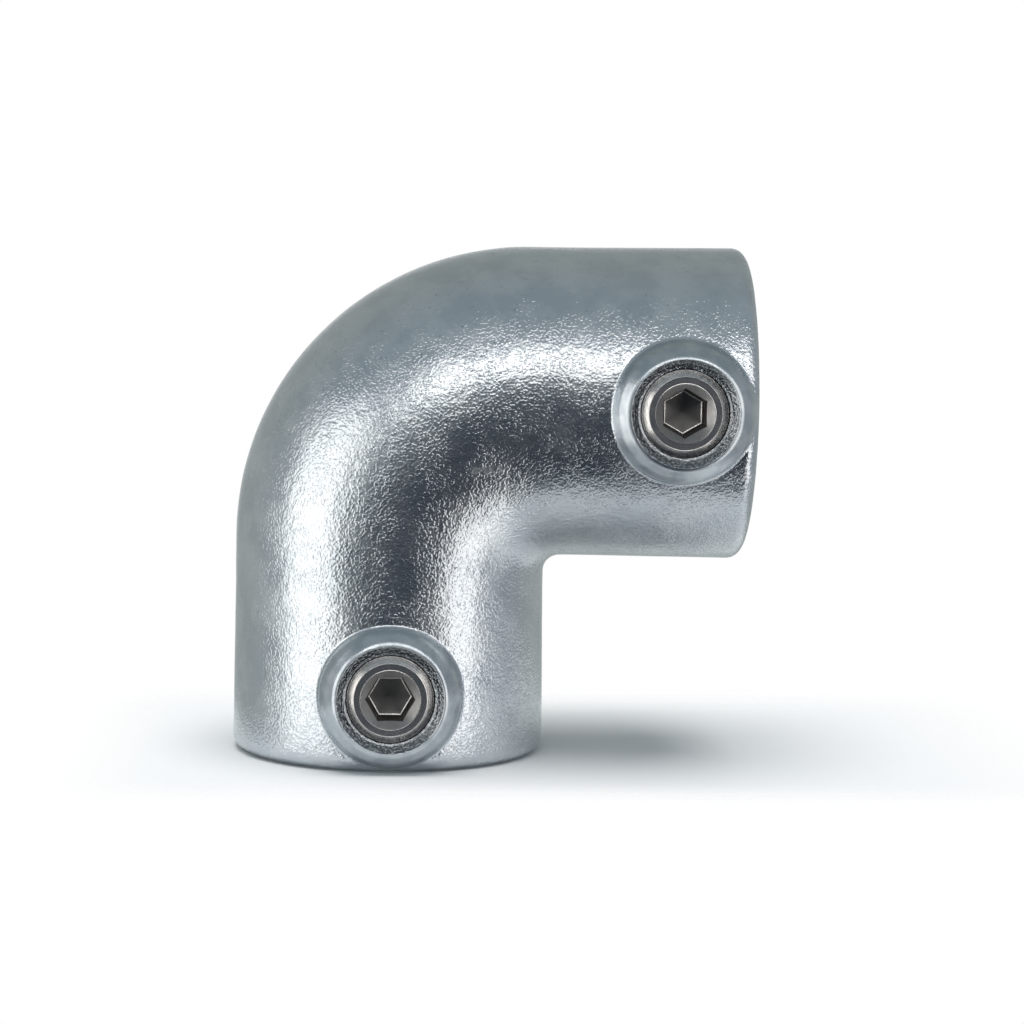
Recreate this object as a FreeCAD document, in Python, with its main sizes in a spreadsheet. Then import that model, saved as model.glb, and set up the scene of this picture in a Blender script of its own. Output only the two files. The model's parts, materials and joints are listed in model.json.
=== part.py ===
import FreeCAD, Part
import os
import Sketcher
from FreeCAD import Placement, Rotation, Vector

# Elbow key clamp: a cast right-angle socket with a threaded set screw in each arm.
# The origin is the middle of the vertical socket's mouth, +Z runs up that socket,
# +X runs out of the horizontal socket and the set screws face -Y.

doc = FreeCAD.newDocument("ElbowKeyClamp")

# Driving sizes, in millimetres and degrees
DRIVING_SIZES = (
    ("tube_outer", "48.3", "outside diameter of the tube"),
    ("tube_gap", "0.45", "room around the tube in its socket"),
    ("wall", "5.65", "thickness of the socket wall where the bend starts"),
    ("draft_angle", "0.6", "outward slope of the socket's outside"),
    ("centre_to_face", "68.9", "from each mouth to the other tube's axis"),
    ("outer_bend", "27.0", "bend radius of the tube line along the outside of the elbow"),
    ("corner_fillet", "3.0", "radius of the inside corner"),
    ("rim_round", "2.7", "rounding of the mouth's outer edge"),
    ("mouth_chamfer", "0.6", "chamfer on the mouth's inner edge"),
    ("socket_depth", "34.0", "how far the tube goes in"),
    ("stop_ledge", "2.0", "height of the ledge that stops the tube"),
    ("passage_corner", "4.4", "radius of the passage's inside corner"),
    ("boss_radius", "13.9", "radius of the screw boss"),
    ("boss_margin", "0.55", "from the mouth to the side of the screw boss"),
    ("boss_rise", "3.35", "height of the boss above the socket wall"),
    ("boss_shoulder", "3.3", "width of the boss's sloping shoulder"),
    ("boss_drop", "2.35", "height of the boss's sloping shoulder"),
    ("boss_blend", "1.0", "fillet where the boss grows out of the socket"),
    ("sink_radius", "10.2", "outer radius of the countersink in the boss"),
    ("thread_radius", "8.33", "outside radius of the set screw"),
    ("thread_gap", "0.12", "room between the set screw and its tapped hole"),
    ("screw_length", "8.3", "length of the set screw"),
    ("screw_chamfer", "1.4", "width of the chamfer on the set screw's outer end"),
    ("screw_slope", "1.05", "height of the chamfer on the set screw's outer end"),
    ("tip_chamfer", "1.2", "chamfer on the set screw's inner end"),
    ("tip_gap", "0.1", "from the set screw's tip to the socket's bore"),
    ("cup_radius", "5.0", "radius of the hollow in the set screw's tip"),
    ("cup_depth", "0.8", "depth of the hollow in the set screw's tip"),
    ("hex_flats", "8.2", "width across the flats of the hexagon socket"),
    ("hex_depth", "5.0", "depth of the hexagon socket"),
    ("hex_point", "0.8", "depth of the drill point below the hexagon socket"),
    ("hex_sink", "5.55", "radius of the countersink round the hexagon socket"),
    ("hex_slope", "43", "slope of that countersink"),
    ("vertical_turn", "0", "how far the vertical socket's screw is turned"),
    ("horizontal_turn", "30", "how far the horizontal socket's screw is turned"),
)

sizes = doc.addObject("Spreadsheet::Sheet", "Sizes")
for row, (alias, number, meaning) in enumerate(DRIVING_SIZES, start=1):
    sizes.set(f"A{row}", meaning)
    sizes.set(f"B{row}", number)
    sizes.setAlias(f"B{row}", alias)
doc.recompute()

# Sizes that follow from the driving ones
BORE = "(Sizes.tube_outer / 2 + Sizes.tube_gap)"
SKIN = f"({BORE} + Sizes.wall)"
CORE = f"({BORE} - Sizes.stop_ledge)"
CORNER = f"({SKIN} + Sizes.corner_fillet)"
SHIFT = f"({CORNER} - Sizes.outer_bend)"
CREST_BEND = f"(({CORNER} + Sizes.outer_bend) / 2)"
PASSAGE_BEND = f"({CORE} + Sizes.passage_corner)"
RUN_END = f"(Sizes.centre_to_face - {CORNER} - Sizes.corner_fillet)"
RUN = f"({RUN_END} - Sizes.rim_round)"
FLARE = f"({RUN} * tan(Sizes.draft_angle * 1 deg))"
MOUTH = f"({SKIN} + {FLARE})"
BOSS_OFFSET = "(Sizes.boss_radius + Sizes.boss_margin)"
BOSS_TOP = f"({SKIN} + Sizes.boss_rise)"
TAPPED = "(Sizes.thread_radius + Sizes.thread_gap)"
SINK_FLOOR = f"({BOSS_TOP} - Sizes.sink_radius + {TAPPED})"
SCREW_TIP = f"({BORE} + Sizes.tip_gap)"

FACE_OUTWARDS = Rotation(Vector(1, 0, 0), 90)
ALONG_ARM = Rotation(Vector(0, 1, 0), -90)
ROUND_THE_BEND = Rotation(Vector(-1, 0, 0), Vector(0, 0, 1), Vector(0, 1, 0), "XYZ")
SECTIONS_IN_BEND = 8


def number_of(expression):
    result = sizes.evalExpression(expression)
    return float(getattr(result, "Value", result))


def place(thing, x="0", y="0", z="0", rotation=None):
    base = Vector(number_of(x), number_of(y), number_of(z))
    thing.Placement = Placement(base, rotation or Rotation())
    thing.setExpression("Placement.Base.x", x)
    thing.setExpression("Placement.Base.y", y)
    thing.setExpression("Placement.Base.z", z)


def origin_plane(body, role):
    for feature in body.Origin.OriginFeatures:
        if feature.Role == role:
            return feature
    raise ValueError(f"{body.Name} has no {role}")


def new_sketch(body, name, role):
    sketch = body.newObject("Sketcher::SketchObject", name)
    sketch.AttachmentSupport = [(origin_plane(body, role), "")]
    sketch.MapMode = "FlatFace"
    return sketch


def pin_point(sketch, line, tip, across, along):
    # Ties the start or end of a line to its distance from the two axes of the sketch
    for kind, axis, expression in (("DistanceX", -2, across), ("DistanceY", -1, along)):
        distance = number_of(expression)
        if expression == "0":
            sketch.addConstraint(Sketcher.Constraint("PointOnObject", line, tip, axis))
        else:
            index = sketch.addConstraint(Sketcher.Constraint(kind, -1, 1, line, tip, distance))
            sketch.setExpression(f"Constraints[{index}]", expression)


def profile(sketch, corners):
    # Closed outline, counter-clockwise; a corner with a third value starts a rounding of that radius
    points = [Vector(number_of(corner[0]), number_of(corner[1]), 0) for corner in corners]
    count = len(corners)
    for index, corner in enumerate(corners):
        start = points[index]
        end = points[(index + 1) % count]
        if len(corner) == 2:
            sketch.addGeometry(Part.LineSegment(start, end), False)
            continue
        radius = number_of(corner[2])
        chord = end - start
        middle = (start + end) * 0.5
        side = Vector(-chord.y, chord.x, 0).normalize()
        rise = max(radius ** 2 - (chord.Length / 2) ** 2, 0.0) ** 0.5
        summit = middle - side * (radius - rise)
        sketch.addGeometry(Part.Arc(start, summit, end), False)
    for index in range(count):
        sketch.addConstraint(Sketcher.Constraint("Coincident", index, 2, (index + 1) % count, 1))
    for index, corner in enumerate(corners):
        if len(corner) == 2:
            pin_point(sketch, index, 1, corner[0], corner[1])
            continue
        # a rounding starts where the line before it ends
        pin_point(sketch, (index - 1) % count, 2, corner[0], corner[1])
        bow = sketch.addConstraint(Sketcher.Constraint("Radius", index, number_of(corner[2])))
        sketch.setExpression(f"Constraints[{bow}]", corner[2])


def turned_body(name, corners):
    # A body of revolution about its own Z axis
    body = doc.addObject("PartDesign::Body", name)
    sketch = new_sketch(body, f"{name}Profile", "XZ_Plane")
    profile(sketch, corners)
    turning = body.newObject("PartDesign::Revolution", f"{name}Turning")
    turning.Profile = sketch
    turning.ReferenceAxis = (sketch, ["V_Axis"])
    turning.Angle = 360
    doc.recompute()
    return body


# Outside of the bend. Each section is an ellipse whose outer end runs on the outside arc
# and whose inner end runs on the inside corner's arc, so every line between them is
# an arc too and meets both sockets smoothly
def bend_section(step):
    turn = f"({90 * step / SECTIONS_IN_BEND} deg)"
    span = f"(2 * {SKIN} - {SHIFT})"
    across = f"({SHIFT} + {span} * cos({turn}))"
    upward = f"({SHIFT} + {span} * sin({turn}))"
    section = doc.addObject("Part::Ellipse", f"Section{step}")
    section.Placement = Placement(Vector(), Rotation(Vector(0, 1, 0), 200))
    section.setExpression("MajorRadius", f"sqrt({across} ^ 2 + {upward} ^ 2) / 2")
    section.setExpression("MinorRadius", SKIN)
    section.setExpression("Placement.Base.x", f"{CREST_BEND} * (1 - cos({turn}))")
    section.setExpression("Placement.Base.z", f"Sizes.centre_to_face - {CREST_BEND} * (1 - sin({turn}))")
    section.setExpression("Placement.Rotation.Angle", f"180 deg + atan2({upward}; {across})")
    return section


def run_end(name, x, z, turn):
    circle = doc.addObject("Part::Circle", name)
    place(circle, x, "0", z, Rotation(Vector(0, 1, 0), turn))
    circle.setExpression("Radius", SKIN)
    return circle


def loft(name, sections, straight):
    skin = doc.addObject("Part::Loft", name)
    skin.Sections = sections
    skin.Solid = True
    skin.Ruled = straight
    return skin


def bent_skin():
    # The bend, with a short straight run to where the draft of each socket starts
    sections = [bend_section(step) for step in range(SECTIONS_IN_BEND + 1)]
    lower = run_end("LowerRunEnd", "0", RUN_END, 180)
    outer = run_end("OuterRunEnd", f"(Sizes.centre_to_face - {RUN_END})", "Sizes.centre_to_face", 270)
    bend = loft("Bend", sections, False)
    rising = loft("BendFoot", [lower, sections[0]], True)
    level = loft("BendEnd", [sections[-1], outer], True)
    return [bend, rising, level]


def straight_pair(kind, name, begin, length, radii):
    # The same primitive from a distance behind each mouth, with named radii
    pair = []
    far = f"(Sizes.centre_to_face - {begin})"
    for end, x, z, rotation in (("Rising", "0", begin, None), ("Level", far, "Sizes.centre_to_face", ALONG_ARM)):
        piece = doc.addObject(kind, f"{name}{end}")
        for dimension, expression in radii.items():
            piece.setExpression(dimension, expression)
        piece.setExpression("Height", length)
        place(piece, x, "0", z, rotation)
        pair.append(piece)
    return pair


def both_arms(name, corners, overrun="0"):
    # The same turned form at the vertical and at the horizontal mouth
    rising = turned_body(f"{name}Rising", corners)
    place(rising, "0", "0", f"-{overrun}")
    level = turned_body(f"{name}Level", corners)
    place(level, f"Sizes.centre_to_face + {overrun}", "0", "Sizes.centre_to_face", ALONG_ARM)
    return [rising, level]


def both_screws(name, corners):
    # The same turned form on both screw axes, pointing out of the front
    rising = turned_body(f"{name}Rising", corners)
    place(rising, "0", "0", BOSS_OFFSET, FACE_OUTWARDS)
    level = turned_body(f"{name}Level", corners)
    place(level, f"Sizes.centre_to_face - {BOSS_OFFSET}", "0", "Sizes.centre_to_face", FACE_OUTWARDS)
    return [rising, level]


# Outside of the casting
skin_pieces = bent_skin()
skin_pieces += straight_pair("Part::Cone", "Socket", "Sizes.rim_round", RUN, {"Radius1": MOUTH, "Radius2": SKIN})
rim_corners = (
    ("0", "0"),
    (f"{MOUTH} - Sizes.rim_round", "0", "Sizes.rim_round"),
    (MOUTH, "Sizes.rim_round"),
    ("0", "Sizes.rim_round"),
)
skin_pieces += both_arms("Rim", rim_corners)
boss_corners = (
    ("0", "0"),
    ("Sizes.boss_radius", "0"),
    ("Sizes.boss_radius", f"{BOSS_TOP} - Sizes.boss_drop"),
    ("Sizes.boss_radius - Sizes.boss_shoulder", BOSS_TOP),
    ("0", BOSS_TOP),
)
skin_pieces += both_screws("Boss", boss_corners)
outside = doc.addObject("Part::MultiFuse", "Outside")
outside.Shapes = skin_pieces
doc.recompute()


def boss_edges(shape):
    # The edges where a boss's side meets the socket
    radius = number_of("Sizes.boss_radius")
    shoulder = -number_of(f"{BOSS_TOP} - Sizes.boss_drop")
    axes = [Vector(piece.Placement.Base) for piece in skin_pieces[-2:]]
    found = []
    for index, edge in enumerate(shape.Edges, start=1):
        points = edge.discretize(9)
        for axis in axes:
            reach = [((point.x - axis.x) ** 2 + (point.z - axis.z) ** 2) ** 0.5 for point in points]
            on_side = max(abs(distance - radius) for distance in reach) < 0.01
            below = max(point.y for point in points) > shoulder + 0.01
            if on_side and below and edge.Curve.TypeId != "Part::GeomLine":
                found.append(index)
    return found


rounded = doc.addObject("Part::Fillet", "Rounded")
rounded.Base = outside
blend = number_of("Sizes.boss_blend")
rounded.Edges = [(index, blend, blend) for index in boss_edges(outside.Shape)]
doc.recompute()

# Sockets, the passage round the bend and the tapped holes
passage = doc.addObject("Part::Torus", "PassageBend")
passage.setExpression("Radius1", PASSAGE_BEND)
passage.setExpression("Radius2", CORE)
passage.Angle3 = 90
place(passage, PASSAGE_BEND, "0", f"Sizes.centre_to_face - {PASSAGE_BEND}", ROUND_THE_BEND)
hollow_pieces = [passage]
passage_run = f"(Sizes.centre_to_face - {PASSAGE_BEND} - Sizes.socket_depth / 2)"
hollow_pieces += straight_pair("Part::Cylinder", "Passage", "(Sizes.socket_depth / 2)", passage_run, {"Radius": CORE})
OVERRUN = "Sizes.boss_radius"
socket_corners = (
    ("0", "0"),
    (f"{BORE} + Sizes.mouth_chamfer", "0"),
    (f"{BORE} + Sizes.mouth_chamfer", OVERRUN),
    (BORE, f"{OVERRUN} + Sizes.mouth_chamfer"),
    (BORE, f"{OVERRUN} + Sizes.socket_depth"),
    ("0", f"{OVERRUN} + Sizes.socket_depth"),
)
hollow_pieces += both_arms("Bore", socket_corners, OVERRUN)
hole_corners = (
    ("0", "0"),
    (TAPPED, "0"),
    (TAPPED, SINK_FLOOR),
    ("Sizes.sink_radius + Sizes.boss_drop", f"{BOSS_TOP} + Sizes.boss_drop"),
    ("0", f"{BOSS_TOP} + Sizes.boss_drop"),
)
hollow_pieces += both_screws("Hole", hole_corners)
hollow = doc.addObject("Part::MultiFuse", "Hollow")
hollow.Shapes = hollow_pieces
doc.recompute()

casting = doc.addObject("Part::Cut", "Casting")
casting.Base = rounded
casting.Tool = hollow
casting.Label = "elbow"
doc.recompute()


# Set screws: turned from bar with a hollow tip, then a hexagon socket in the outer end
def set_screw(label, turn, x, z):
    name = label.title().replace("_", "")
    corners = (
        ("0", "Sizes.cup_depth"),
        ("Sizes.cup_radius", "0"),
        ("Sizes.thread_radius - Sizes.tip_chamfer", "0"),
        ("Sizes.thread_radius", "Sizes.tip_chamfer"),
        ("Sizes.thread_radius", "Sizes.screw_length - Sizes.screw_slope"),
        ("Sizes.thread_radius - Sizes.screw_chamfer", "Sizes.screw_length"),
        ("0", "Sizes.screw_length"),
    )
    body = turned_body(name, corners)
    body.Label = label
    bar = body.Shape.Volume

    hexagon = new_sketch(body, f"{name}Hexagon", "XY_Plane")
    hexagon.AttachmentOffset = Placement(Vector(0, 0, 1), Rotation(Vector(0, 0, 1), 10))
    hexagon.setExpression("AttachmentOffset.Base.z", "Sizes.screw_length")
    hexagon.setExpression("AttachmentOffset.Rotation.Angle", f"Sizes.{turn} * 1 deg")
    reach = number_of("Sizes.hex_flats / 2 / cos(30 deg)")
    points = [Rotation(Vector(0, 0, 1), 60 * step) * Vector(reach, 0, 0) for step in range(6)]
    for step in range(6):
        hexagon.addGeometry(Part.LineSegment(points[step], points[(step + 1) % 6]), False)
    circle = hexagon.addGeometry(Part.Circle(Vector(), Vector(0, 0, 1), reach), True)
    for step in range(6):
        hexagon.addConstraint(Sketcher.Constraint("Coincident", step, 2, (step + 1) % 6, 1))
        hexagon.addConstraint(Sketcher.Constraint("PointOnObject", step, 1, circle))
    for step in range(5):
        hexagon.addConstraint(Sketcher.Constraint("Equal", step, step + 1))
    hexagon.addConstraint(Sketcher.Constraint("Coincident", circle, 3, -1, 1))
    hexagon.addConstraint(Sketcher.Constraint("PointOnObject", 0, 1, -1))
    corner_radius = hexagon.addConstraint(Sketcher.Constraint("Radius", circle, reach))
    hexagon.setExpression(f"Constraints[{corner_radius}]", "Sizes.hex_flats / 2 / cos(30 deg)")
    socket = body.newObject("PartDesign::Pocket", f"{name}Socket")
    socket.Profile = hexagon
    socket.setExpression("Length", "Sizes.hex_depth")
    doc.recompute()
    if body.Shape.Volume > bar - 0.9 * number_of("Sizes.hex_flats ^ 2 * 0.866 * Sizes.hex_depth"):
        raise ValueError(f"{label}: the hexagon socket cut too little")

    # the countersunk mouth of the hexagon and the drill point at its floor
    hollow_end = new_sketch(body, f"{name}Countersink", "XZ_Plane")
    floor = "Sizes.screw_length - Sizes.hex_depth"
    flat = "Sizes.hex_flats / 2"
    profile(hollow_end, (
        ("0", f"{floor} - Sizes.hex_point"),
        (flat, floor),
        (flat, f"Sizes.screw_length - (Sizes.hex_sink - {flat}) * tan(Sizes.hex_slope * 1 deg)"),
        ("Sizes.hex_sink", "Sizes.screw_length"),
        ("0", "Sizes.screw_length"),
    ))
    socketed = body.Shape.Volume
    countersink = body.newObject("PartDesign::Groove", f"{name}CountersinkCut")
    countersink.Profile = hollow_end
    countersink.ReferenceAxis = (hollow_end, ["V_Axis"])
    countersink.Angle = 360
    doc.recompute()
    if body.Shape.Volume > socketed - 1.0:
        raise ValueError(f"{label}: the countersink cut nothing")
    place(body, x, f"-{SCREW_TIP}", z, FACE_OUTWARDS)
    return body


across = f"Sizes.centre_to_face - {BOSS_OFFSET}"
screws = [
    set_screw("vertical_screw", "vertical_turn", "0", BOSS_OFFSET),
    set_screw("horizontal_screw", "horizontal_turn", across, "Sizes.centre_to_face"),
]
doc.recompute()

# Nothing is written unless every object is sound
for thing in doc.Objects:
    faults = [word for word in thing.State if word in ("Invalid", "Error")]
    if faults:
        raise ValueError(f"{thing.Name} is {faults}")
for piece in [casting] + screws:
    if piece.Shape.isNull() or not piece.Shape.isValid() or len(piece.Shape.Solids) != 1:
        raise ValueError(f"{piece.Label} is not one sound solid")

os.makedirs("parts", exist_ok=True)
for piece in [casting] + screws:
    piece.Shape.exportStep(f"parts/{piece.Label}.step")
    print(piece.Label, "volume", round(piece.Shape.Volume, 1), "faces", len(piece.Shape.Faces))
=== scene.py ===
import json
import math

import bpy
import numpy as np
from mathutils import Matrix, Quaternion, Vector


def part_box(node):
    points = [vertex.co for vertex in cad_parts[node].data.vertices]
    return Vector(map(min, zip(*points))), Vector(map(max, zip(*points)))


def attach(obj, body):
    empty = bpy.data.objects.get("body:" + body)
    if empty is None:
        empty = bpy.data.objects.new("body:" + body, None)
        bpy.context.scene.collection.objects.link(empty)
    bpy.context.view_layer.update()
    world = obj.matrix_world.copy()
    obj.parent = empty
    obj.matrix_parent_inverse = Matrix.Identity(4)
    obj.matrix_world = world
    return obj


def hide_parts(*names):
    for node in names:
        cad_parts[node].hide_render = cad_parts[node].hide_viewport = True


# Elbow key clamp: a galvanised casting with two sockets at a right angle
# and a hexagon-socket set screw in a raised boss on each of them.

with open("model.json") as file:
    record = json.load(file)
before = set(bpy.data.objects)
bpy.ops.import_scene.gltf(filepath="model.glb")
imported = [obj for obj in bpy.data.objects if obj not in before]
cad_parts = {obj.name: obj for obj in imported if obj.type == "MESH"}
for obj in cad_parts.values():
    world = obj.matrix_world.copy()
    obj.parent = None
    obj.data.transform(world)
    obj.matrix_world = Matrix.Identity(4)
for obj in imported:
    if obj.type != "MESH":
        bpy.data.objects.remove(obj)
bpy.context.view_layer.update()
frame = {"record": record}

# Sizes in millimetres. Those that the frame holds are read from it
MM = 0.001
elbow_low, elbow_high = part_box("elbow")
screw_low, screw_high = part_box("vertical_screw")
mounts = {mount["name"]: mount for mount in frame["record"]["mounts"]}
REACH = elbow_high[0] / MM
MOUTH = elbow_high[1] / MM
BOSS_TOP = -elbow_low[1] / MM
BORE = mounts["vertical_socket"]["dims"]["r_mm"]
MOUTH_CHAMFER = mounts["vertical_socket"]["pos_m"][2] / MM
SOCKET_DEPTH = MOUTH_CHAMFER + mounts["vertical_socket"]["dims"]["length_mm"]
SCREW_RADIUS = (screw_high[0] - screw_low[0]) / 2 / MM
SCREW_AXIS = (screw_high[2] + screw_low[2]) / 2 / MM
SCREW_TIP = -screw_high[1] / MM
SCREW_LENGTH = (screw_high[1] - screw_low[1]) / MM

WALL = 5.65
SKIN = BORE + WALL
RIM_ROUND = 2.7
EDGE_SEAT = 2.0
EDGE_SEAT_DEPTH = 1.6
OUTER_BEND = 27.0
CORNER_FILLET = 3.0
CORNER = SKIN + CORNER_FILLET
RUN_END = REACH - CORNER - CORNER_FILLET
STOP_LEDGE = 2.0
CORE = BORE - STOP_LEDGE
PASSAGE_FILLET = 4.4
PASSAGE_BEND = CORE + PASSAGE_FILLET
BOSS_RADIUS = 13.6
BOSS_CREST = 10.65
BOSS_CREST_ROUND = 0.45
BOSS_DROP = 2.4
BOSS_DROP_GAIN = 0.35
BOSS_EDGE_ROUND = 1.4
BOSS_BLEND = 0.6
BOSS_FOOT = 1.6
FOOT_FROM_END = 0.25
SINK_RADIUS = 10.2
THREAD_ROOM = 0.12
THREAD_PITCH = 1.337
TAPPED_THREAD = 0.42
SCREW_THREAD = 0.8
TAPPED = SCREW_RADIUS + THREAD_ROOM
TAPPED_ROOT = TAPPED + TAPPED_THREAD
LIP = BOSS_TOP - SINK_RADIUS + TAPPED_ROOT
SCREW_ROOT = SCREW_RADIUS - SCREW_THREAD
SCREW_CHAMFER = 1.4
SCREW_SLOPE = 1.05
TIP_CHAMFER = 1.2
CUP_RADIUS = 5.0
CUP_DEPTH = 0.8
HEX_FLATS = 8.2
HEX_DEPTH = 5.0
HEX_POINT = 0.8
HEX_SINK = 5.55
HEX_SLOPE = math.tan(math.radians(43))
HEX_TAPER = 0.1
FLAT_SINK = 0.04
RAISED_EDGE = 0.1
EASED_EDGE = 0.045
LIP_SLOPE = math.tan(math.radians(21))

# How fine the meshes are
SKIN_PITCH = 0.82
THREAD_COLUMNS = 144
COLUMN_TURNS = np.arange(THREAD_COLUMNS) * 2 * np.pi / THREAD_COLUMNS
THREAD_ROW = THREAD_PITCH / 14
SINK_ROW = 0.15
EDGE_ROW = 0.4
SHOULDER_ROWS = 30
SIDE_ROWS = 12
FOOT_ROWS = 11

# Surfaces of the casting, told apart so that their common edges stay crisp
OUTSIDE, MOUTH_SEAT, SOCKET, LEDGE, PASSAGE, TAPPED_HOLE = range(6)


# Shape of the casting, as how far a point stands outside it
def round_over(one, other, radius):
    corner = np.hypot(np.maximum(one + radius, 0), np.maximum(other + radius, 0))
    return np.minimum(np.maximum(one, other), -radius) + corner


def blend_in(one, other, radius):
    corner = np.hypot(np.maximum(radius - one, 0), np.maximum(radius - other, 0))
    return np.maximum(np.minimum(one, other), radius) - corner


def fold(points):
    # Both sockets are alike, so the horizontal one is turned over onto the vertical one
    x, y, z = points[..., 0], points[..., 1], points[..., 2]
    level = x + z > REACH
    return np.where(level, REACH - z, x), y, np.where(level, REACH - x, z)


def bend_gap(x, y, z):
    # Sections of the bend are ellipses from the inside corner's arc to the outside arc.
    # The turn of the section through a point has a closed form
    shift = CORNER - OUTER_BEND
    spread = OUTER_BEND + SKIN - CORNER_FILLET
    from_corner_x = x - CORNER
    from_corner_z = z - (REACH - CORNER)
    twist = shift * (from_corner_x + from_corner_z)
    lean_x = spread * from_corner_x - CORNER_FILLET * shift
    lean_z = spread * from_corner_z + CORNER_FILLET * shift
    lean = np.maximum(np.hypot(lean_x, lean_z), 1e-6)
    turn = np.pi - np.arcsin(np.clip(-twist / lean, -1, 1)) - np.arctan2(lean_z, lean_x)
    turn = (turn + np.pi) % (2 * np.pi) - np.pi
    inner_x = CORNER - CORNER_FILLET * np.cos(turn)
    inner_z = REACH - CORNER + CORNER_FILLET * np.sin(turn)
    outer_x = OUTER_BEND - (OUTER_BEND + SKIN) * np.cos(turn)
    outer_z = REACH - OUTER_BEND + (OUTER_BEND + SKIN) * np.sin(turn)
    half = np.hypot(outer_x - inner_x, outer_z - inner_z) / 2
    along_x = (outer_x - inner_x) / (2 * half)
    along_z = (outer_z - inner_z) / (2 * half)
    across = (x - (inner_x + outer_x) / 2) * along_x + (z - (inner_z + outer_z) / 2) * along_z
    level = np.maximum(np.hypot(across / half, y / SKIN), 1e-6)
    slope = np.maximum(np.hypot(across / half ** 2, y / SKIN ** 2), 1e-9) / level
    return (level - 1) / slope, turn


def boss_drop(x, z):
    # The shoulder of a boss is steeper where the socket's skin falls away under its edge,
    # down the sides of the socket and over the rounded rim
    from_screw = np.maximum(np.hypot(x, z - SCREW_AXIS), 1e-6)
    edge_x = x / from_screw * BOSS_RADIUS
    edge_z = SCREW_AXIS + (z - SCREW_AXIS) / from_screw * BOSS_RADIUS
    over_rim = np.clip(RIM_ROUND - edge_z, 0, RIM_ROUND)
    rim = SKIN - RIM_ROUND + np.sqrt(RIM_ROUND ** 2 - over_rim ** 2)
    return BOSS_DROP + BOSS_DROP_GAIN * (SKIN - np.sqrt(rim ** 2 - edge_x ** 2))


def boss_gap(x, y, z):
    from_screw = np.hypot(x, z - SCREW_AXIS)
    drop = boss_drop(x, z)
    width = BOSS_RADIUS - BOSS_CREST
    above = -y - BOSS_TOP
    shoulder = ((from_screw - BOSS_CREST) * drop + above * width) / np.hypot(drop, width)
    sloped = round_over(shoulder, from_screw - BOSS_RADIUS, BOSS_EDGE_ROUND)
    return round_over(sloped, above, BOSS_CREST_ROUND)


def skin_gap(x, y, z):
    draft = (MOUTH - SKIN) / (RUN_END - RIM_ROUND)
    straight = np.hypot(x, y) - SKIN - np.maximum(RUN_END - z, 0) * draft
    bent, turn = bend_gap(x, y, z)
    in_bend = (turn > 0) & (z > RUN_END) & (turn < np.pi / 2)
    return round_over(np.where(in_bend, bent, straight), -z, RIM_ROUND)


def boss_on_skin_gap(points):
    x, y, z = fold(points)
    blended = blend_in(skin_gap(x, y, z), np.maximum(boss_gap(x, y, z), y), BOSS_BLEND)
    return np.maximum(blended, -z)


def surface_gaps(points):
    x, y, z = fold(points)
    radius = np.hypot(x, y)
    bend_start = REACH - PASSAGE_BEND
    round_bend = np.hypot(np.hypot(x - PASSAGE_BEND, z - bend_start) - PASSAGE_BEND, y) - CORE
    from_screw = np.hypot(x, z - SCREW_AXIS)
    return {
        OUTSIDE: skin_gap(x, y, z),
        MOUTH_SEAT: np.maximum(radius - BORE - EDGE_SEAT, z - EDGE_SEAT_DEPTH),
        SOCKET: radius - BORE,
        LEDGE: z - SOCKET_DEPTH,
        PASSAGE: np.where(z < bend_start, radius - CORE, round_bend),
        TAPPED_HOLE: np.maximum(from_screw - TAPPED_ROOT, y),
    }


def casting_gap(points):
    gaps = surface_gaps(points)
    gap = np.maximum(gaps[OUTSIDE], -np.maximum(gaps[SOCKET], gaps[LEDGE]))
    for hollow in (MOUTH_SEAT, PASSAGE, TAPPED_HOLE):
        gap = np.maximum(gap, -gaps[hollow])
    return gap


def surface_at(points):
    # Which surface of the casting a point on it belongs to
    gaps = surface_gaps(points)
    beyond = np.stack([np.abs(gaps[surface]) for surface in range(len(gaps))])
    beyond[LEDGE] = np.where(gaps[SOCKET] > 0.01, np.inf, beyond[LEDGE])
    return np.argmin(beyond, axis=0)


def slope_of(gap, points, step=0.002):
    # Direction in which a distance grows
    lean = np.empty_like(points)
    for axis in range(3):
        nudge = np.zeros(3)
        nudge[axis] = step
        lean[:, axis] = gap(points + nudge) - gap(points - nudge)
    return lean / np.maximum(np.linalg.norm(lean, axis=1, keepdims=True), 1e-12)


def settle(points, gap=casting_gap, rounds=3):
    # Moves points straight onto a surface
    for _ in range(rounds):
        points = points - slope_of(gap, points) * gap(points)[:, None]
    return points


def settle_on_edges(points, touches):
    # Moves points onto all the surfaces that meet where they are
    for _ in range(10):
        for surface in range(touches.shape[1]):
            chosen = touches[:, surface]
            if chosen.any():
                points[chosen] = settle(
                    points[chosen], lambda spots: surface_gaps(spots)[surface], rounds=1,
                )
    return points


def cross_points(inside, beyond):
    # Where the surface cuts the lines between inner and outer grid points
    for _ in range(14):
        middle = (inside + beyond) / 2
        within = (casting_gap(middle) < 0)[:, None]
        inside = np.where(within, middle, inside)
        beyond = np.where(within, beyond, middle)
    return (inside + beyond) / 2


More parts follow.
